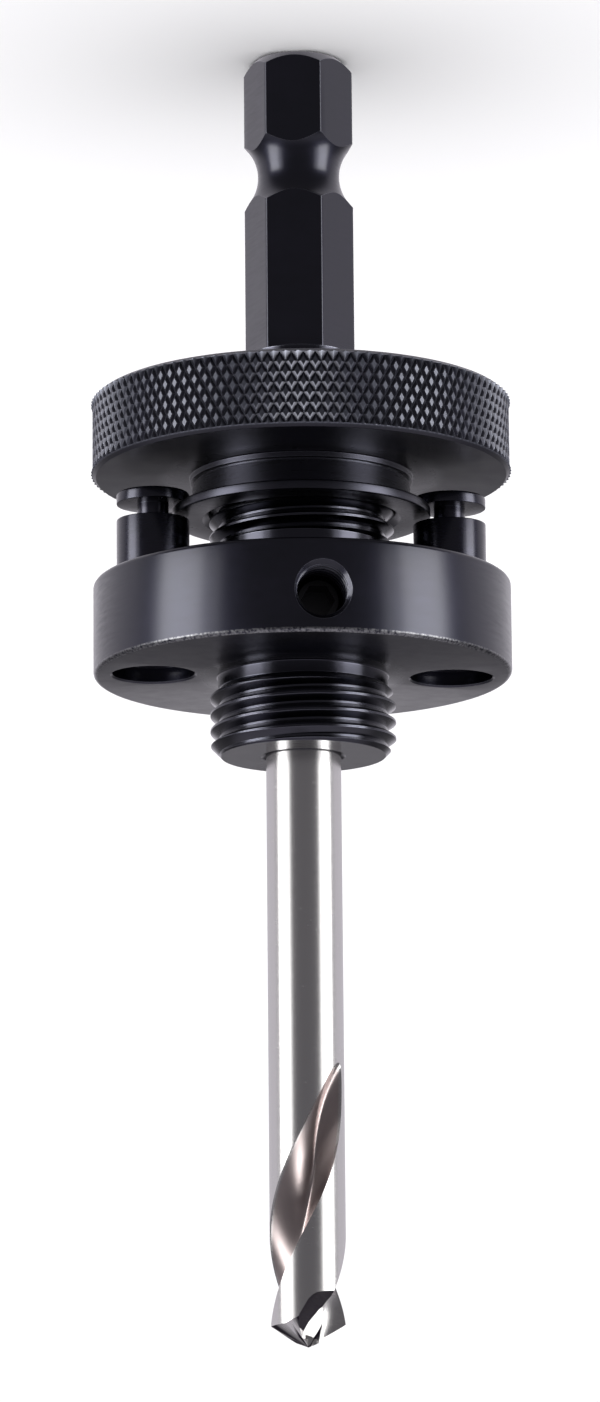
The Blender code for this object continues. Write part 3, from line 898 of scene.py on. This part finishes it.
def make_grub_screw(material):
    """The screw that clamps the pilot drill: cup point, plain length and hexagonal socket."""
    blank = turned([
        (0, SCREW_TIP + CUP_DEPTH),
        (CUP_RADIUS, SCREW_TIP),
        (SCREW_POINT_RADIUS, SCREW_TIP + SCREW_POINT_LENGTH),
        (SCREW_RADIUS - SCREW_START_CHAMFER, SCREW_TIP + SCREW_POINT_LENGTH),
        (SCREW_RADIUS, SCREW_TIP + SCREW_POINT_LENGTH + SCREW_START_CHAMFER),
        (SCREW_RADIUS, SCREW_OUTER - SCREW_END_CHAMFER),
        (SCREW_RADIUS - SCREW_END_CHAMFER, SCREW_OUTER),
        (0, SCREW_OUTER),
    ], SCREW_ROUND)
    socket = hex_bar(SOCKET_HALF, SCREW_OUTER - SOCKET_DEPTH, SCREW_OUTER + OVERLAP, turn=0, edge=0)
    screw = along_screw(carve(blank, [("DIFFERENCE", socket)]))
    finish_piece(screw, "grub_screw", material, "grub_screw")


# Pilot drill


def heel_share(angle):
    """Where an angle lies: 0 at a heel and 1 at a lip, over the land as over the flute."""
    before_heel = (angle - math.asin(HALF_WEB / DRILL_RADIUS) + LAND_ANGLE) % math.pi
    if before_heel < LAND_ANGLE:
        return before_heel / LAND_ANGLE
    return (math.pi - before_heel) / (math.pi - LAND_ANGLE)


def half_section():
    """Half of the drill's section, from one cutting corner round to the next lip.

    Each point has its angle, its radius and what it lies on. The land stands out of the round
    bar that later trims the drill, so that the bar's own surface stays there.
    """
    corner = math.asin(HALF_WEB / DRILL_RADIUS)
    heel = corner - LAND_ANGLE
    land = DRILL_RADIUS + BAR_CLEARANCE
    points = [(corner - LAND_ANGLE * i / LAND_STEPS, land, "land") for i in range(LAND_STEPS + 1)]
    start = Vector((math.cos(heel), math.sin(heel))) * DRILL_RADIUS
    wall = heel - math.pi / 2 - WALL_ANGLE
    handle = start + Vector((math.cos(wall), math.sin(wall))) * WALL_REACH
    end = Vector((LIP_STRAIGHT_END, -HALF_WEB))
    hollow = end + Vector((HOLLOW_REACH, 0))
    curve = interpolate_bezier(start, handle, hollow, end, FLUTE_STEPS)[1:]
    reach = -DRILL_RADIUS * math.cos(corner) - LIP_STRAIGHT_END
    for i in range(1, LIP_STEPS):
        curve.append(Vector((LIP_STRAIGHT_END + reach * i / LIP_STEPS, -HALF_WEB)))
    for point in curve:
        angle = min(math.atan2(point.y, point.x), points[-1][0] - LEAST_STEP)
        points.append((angle, point.length, "flute"))
    return points


def drawn_radius(point, height):
    """The drill's radius at a point of its section and a height, before the bar trims it.

    At their lower end the flutes rise out of the drill. The wheel leaves it aslant: at the heel
    a flute runs out lower down than beside the lip. Below its run-out a flute is drawn on
    outwards, by a share of the run-out, so that it ends clear of the bar.
    """
    angle, radius, part = point
    if part == "land":
        return radius
    above = height - (DRILL_TIP - FLUTE_LENGTH)
    leaving = FLUTE_RUNOUT_START + FLUTE_RUNOUT_SLANT * heel_share(angle)
    left = 1 - min(max((above - leaving) / FLUTE_RUNOUT, -RUNOUT_PAST), 1.0)
    return radius + (DRILL_RADIUS - HALF_WEB) * left * left


def flank_drop(angle, radius):
    """How far the ground point lies below the cone of its lips: two flats behind each lip."""
    lip = math.asin(min(HALF_WEB / radius, 1))
    behind = (lip - angle) % math.pi
    if behind > NEXT_LIP:
        behind = 0.0
    first = min(behind, FIRST_FLANK_ANGLE)
    second = max(behind - FIRST_FLANK_ANGLE, 0.0)
    return radius * (math.tan(FIRST_RELIEF) * first + math.tan(SECOND_RELIEF) * second)


def section_rings():
    """The drill's section row by row, turned along the flutes and drawn up to the ground point."""
    half = half_section()
    section = half + [(angle - math.pi, radius, part) for angle, radius, part in half]
    cone_slope = 1 / math.tan(POINT_HALF_ANGLE)
    low = DRILL_TIP - FLUTE_LENGTH + FLUTE_RUNOUT_START - RUNOUT_MARGIN
    last_full = DRILL_TIP - FULL_SECTION_END

    def spot(point, height):
        """Where a point of the section is at a height."""
        drawn = drawn_radius(point, height)
        risen = height - DRILL_TIP + drawn * cone_slope
        turn = point[0] + FLUTE_TURN + math.tau * risen / FLUTE_PITCH
        return Vector((drawn * math.cos(turn), drawn * math.sin(turn), height)) * MM

    foot = (DRILL_START - OVERLAP) * MM
    rings = [[Vector((place.x, place.y, foot)) for place in (spot(point, low) for point in section)]]
    for i in range(FLUTE_ROWS + 1):
        rings.append([spot(point, low + (last_full - low) * i / FLUTE_ROWS) for point in section])
    rises = []
    for point in section:
        drawn = drawn_radius(point, last_full)
        end = CONE_APEX - drawn * cone_slope - flank_drop(point[0], drawn)
        rises.append(end - last_full)
    for i in range(1, POINT_ROWS + 1):
        rings.append([
            spot(point, last_full + rise * i / POINT_ROWS) for point, rise in zip(section, rises)
        ])
    return rings


def fluted_blank():
    """The drill before the bar trims it: its first ring extruded to each of the others in turn."""
    first, *others = section_rings()
    bm = bmesh.new()
    verts = [bm.verts.new(place) for place in first]
    edges = [bm.edges.new(pair) for pair in zip(verts, verts[1:] + verts[:1])]
    bm.faces.new(verts)
    for ring in others:
        grown = bmesh.ops.extrude_edge_only(bm, edges=edges)["geom"]
        fresh = {g for g in grown if isinstance(g, bmesh.types.BMVert)}
        verts = [
            next(e.other_vert(v) for e in v.link_edges if e.other_vert(v) in fresh) for v in verts
        ]
        for vert, place in zip(verts, ring):
            vert.co = place
        edges = [bm.edges.get(pair) for pair in zip(verts, verts[1:] + verts[:1])]
    cap = bm.faces.new(verts)
    bmesh.ops.poke(bm, faces=[cap])
    bm.verts.ensure_lookup_table()
    bm.verts[-1].co = (0, 0, DRILL_TIP * MM)
    bmesh.ops.recalc_face_normals(bm, faces=bm.faces)
    return bm


def round_bar():
    """The round bar that the drill is ground from, with a chamfer at its held end."""
    return turned([
        (0, DRILL_START), (DRILL_RADIUS - DRILL_END_CHAMFER, DRILL_START),
        (DRILL_RADIUS, DRILL_START + DRILL_END_CHAMFER), (DRILL_RADIUS, DRILL_TIP + OVERLAP),
        (0, DRILL_TIP + OVERLAP),
    ], DRILL_ROUND)


def gash_cutter(profile, back_front, back_slope, turn):
    """What a grinding wheel takes out at the point, swept back from the camera's side.

    The profile is (right, height) as the photo shows it, at the front of the drill. The sweep
    ends on an upright plane that lies back_front before the axis and slopes back to the right.
    """
    towards, side = camera_frame()
    front = Vector((towards.x, towards.y, 0)).normalized()
    start = GASH_FRONT + GASH_LEAD

    def at(right, forward, height):
        """A place given to the right of the axis, before it and above the shank's end."""
        return (-side * right + front * forward + Vector((0, 0, height))) * MM

    bm = bmesh.new()
    face = bm.faces.new([
        bm.verts.new(at(right - GASH_DRIFT * GASH_LEAD, start, height - GASH_RISE * GASH_LEAD))
        for right, height in profile
    ])
    swept = bmesh.ops.extrude_face_region(bm, geom=[face])["geom"]
    for vert in (g for g in swept if isinstance(g, bmesh.types.BMVert)):
        right = -(vert.co.dot(side)) / MM
        per_front = 1 - back_slope * GASH_DRIFT
        forward = (back_front - back_slope * (right + GASH_DRIFT * start)) / per_front
        travel = start - forward
        vert.co = at(right + GASH_DRIFT * travel, forward, vert.co.z / MM + GASH_RISE * travel)
    bmesh.ops.recalc_face_normals(bm, faces=bm.faces)
    return moved(bm, Matrix.Rotation(turn, 4, "Z"))


def make_pilot_drill(material):
    """The pilot drill: a fluted blank trimmed by the round bar, then gashed at its split point."""
    gashes = []
    for turn in (0, math.pi):
        gashes.append(("DIFFERENCE", gash_cutter(GASH_PROFILE, GASH_BACK, GASH_BACK_SLOPE, turn)))
        gashes.append(("DIFFERENCE", gash_cutter(NOTCH_PROFILE, NOTCH_BACK, 0.0, turn)))
    trimmed = carve(fluted_blank(), [("INTERSECT", round_bar())])
    drill = carve(trimmed, gashes)
    finish_piece(drill, "pilot_drill", material, "arbor", DRILL_SHARP)


# Stage, light and camera


def make_floor():
    """A floor of matt paper: pale and even, with hardly any sheen."""
    bm = bmesh.new()
    bmesh.ops.create_grid(bm, x_segments=1, y_segments=1, size=FLOOR_REACH)
    floor = as_object("floor", bm)
    material, tree, shader = new_material("pale_paper_floor")
    feed(tree, shader, {
        "Base Color": linear("#f4f4f4"), "Roughness": 0.9, "Specular IOR Level": 0.1,
    })
    floor.data.materials.append(material)
    floor.visible_glossy = False


def make_room():
    """A dim room with a pale ceiling, and a glow low behind, where a light table's far half is."""
    world = bpy.data.worlds.new("studio_room")
    world.use_nodes = True
    tree = world.node_tree
    place = add_node(tree, "ShaderNodeTexCoord", "Generated")
    away = (-math.sin(CAMERA_AZIMUTH), math.cos(CAMERA_AZIMUTH), 0)
    behind = add_node(
        tree, "ShaderNodeVectorMath", "Value", {0: place, 1: away}, operation="DOT_PRODUCT",
    )
    height = add_node(tree, "ShaderNodeSeparateXYZ", "Z", {"Vector": place})
    far = add_node(tree, "ShaderNodeMapRange", "Result", {
        "Value": behind, "From Min": GLOW_SIDE[0], "From Max": GLOW_SIDE[1],
    })
    low = add_node(tree, "ShaderNodeMapRange", "Result", {
        "Value": height, "From Min": GLOW_TOP[0], "From Max": GLOW_TOP[1], "To Min": 1.0, "To Max": 0.0,
    })
    glow = add_node(tree, "ShaderNodeMapRange", "Result", {
        "Value": meeting(tree, far, low), "To Min": ROOM_DIM, "To Max": ROOM_GLOW,
    })
    ceiling = add_node(tree, "ShaderNodeMapRange", "Result", {
        "Value": height, "From Min": CEILING_EDGE[0], "From Max": CEILING_EDGE[1],
        "To Max": ROOM_CEILING,
    })
    lit = add_node(tree, "ShaderNodeMath", "Value", {0: ceiling, 1: glow}, operation="ADD")
    feed(tree, tree.nodes["Background"], {"Color": linear("#faf6ff"), "Strength": lit})
    bpy.context.scene.world = world


def make_lamp(name, size, power):
    """A rectangular soft light, still without its place."""
    light = bpy.data.lights.new(name, "AREA")
    light.shape = "RECTANGLE"
    light.size, light.size_y = size
    light.energy = power
    lamp = bpy.data.objects.new(name, light)
    bpy.context.scene.collection.objects.link(lamp)
    return lamp


def make_softbox(name, side, angle, distance, height, size, power):
    """An upright softbox, turned to the arbor's axis; only what shines shows it."""
    around = CAMERA_AZIMUTH + math.radians(side * angle)
    place = Vector((math.sin(around) * distance, -math.cos(around) * distance, height))
    aim = Vector((0, 0, height)) - place
    softbox = make_lamp(name, size, power)
    softbox.location = place
    softbox.rotation_euler = aim.to_track_quat("-Z", "Y").to_euler()
    softbox.visible_diffuse = False


def make_lights():
    """On each side a wide softbox and a brighter narrow one in front of it, and one overhead."""
    for side, hand in ((-1, "right"), (1, "left")):
        make_softbox("wide_softbox_" + hand, side, **WIDE_SOFTBOX)
        make_softbox("bright_softbox_" + hand, side, **BRIGHT_SOFTBOX)
    overhead = make_lamp("overhead", OVERHEAD_SIZE, OVERHEAD_POWER)
    overhead.location = (0, 0, OVERHEAD_HEIGHT)
    overhead.visible_glossy = False
    bpy.context.scene.view_settings.view_transform = "Standard"


def make_camera():
    """The photo's camera, upside down, because the photo shows the drill pointing down."""
    towards, side = camera_frame()
    data = bpy.data.cameras.new("photo_camera")
    data.sensor_fit = "AUTO"
    data.sensor_width = SENSOR_WIDTH
    data.lens = PIXELS_PER_MM * CAMERA_DISTANCE * SENSOR_WIDTH / PHOTO_HEIGHT
    data.shift_x = (PHOTO_WIDTH / 2 - AXIS_AT_TARGET) / PHOTO_HEIGHT
    data.clip_start = CAMERA_NEAR
    data.clip_end = CAMERA_FAR
    camera = bpy.data.objects.new("photo_camera", data)
    place = Vector((0, 0, TARGET_HEIGHT * MM)) + towards * CAMERA_DISTANCE * MM
    up = towards.cross(side)
    down_is_up = Matrix((-side, -up, towards)).transposed().to_4x4()
    lean = Matrix.Rotation(AXIS_LEAN, 4, "Z")
    camera.matrix_world = Matrix.Translation(place) @ down_is_up @ lean
    bpy.context.scene.collection.objects.link(camera)
    bpy.context.scene.camera = camera


# Turned and milled steel, blackened: satin, with its edges lighter (a little wear, and painted glints)
# and a painted highlight in specks along the plate's rim
body_finish = black_oxide(
    "black_oxide_turned_steel", base="#222530", tint="#2c2a3a", wear_and_glint="#80828e",
    roughness=0.36, oil_roughness=0.20, rim=PLATE_END,
)
# The same steel, knurled: duller, with its diamonds lighter towards their crests, as wear and painted
# highlight
knurl_finish = black_oxide(
    "black_oxide_knurled_steel", base="#222530", tint="#2c2a3a", wear_and_glint="#777a86",
    roughness=0.44, oil_roughness=0.30, crest=NUT_HEAD_RADIUS - CREST_WEAR_AND_GLINT_INSET,
    fine_radius=NUT_FINE_RADIUS,
)
# Pins ground to slide before they were blackened: darker and glossier
pin_finish = black_oxide(
    "black_oxide_pin_steel", base="#21242f", tint="#2a2739", wear_and_glint="#565a66",
    roughness=0.28, oil_roughness=0.18,
)
# Bought alloy steel screw, deep in its hole: nearly black and even
screw_finish = black_oxide(
    "black_oxide_screw_steel", base="#18181c", tint="#1c1c20", wear_and_glint="#3a3b40",
    roughness=0.40, oil_roughness=0.30,
)
# Hardened and ground: bright where the wheel went last, brown in the flutes, with painted shade on the
# gashes' walls
drill_finish = ground_steel(
    "ground_high_speed_steel", base="#d8d6d5", flute_tint="#b9adab", painted_shade_tint="#2b252f",
    roughness=0.24, flute_roughness=0.32,
)

make_arbor_body(body_finish)
make_knurled_nut(knurl_finish)
make_drive_pin("drive_pin_left", 1, pin_finish)
make_drive_pin("drive_pin_right", -1, pin_finish)
make_grub_screw(screw_finish)
make_pilot_drill(drill_finish)
make_floor()
make_room()
make_lights()
make_camera()
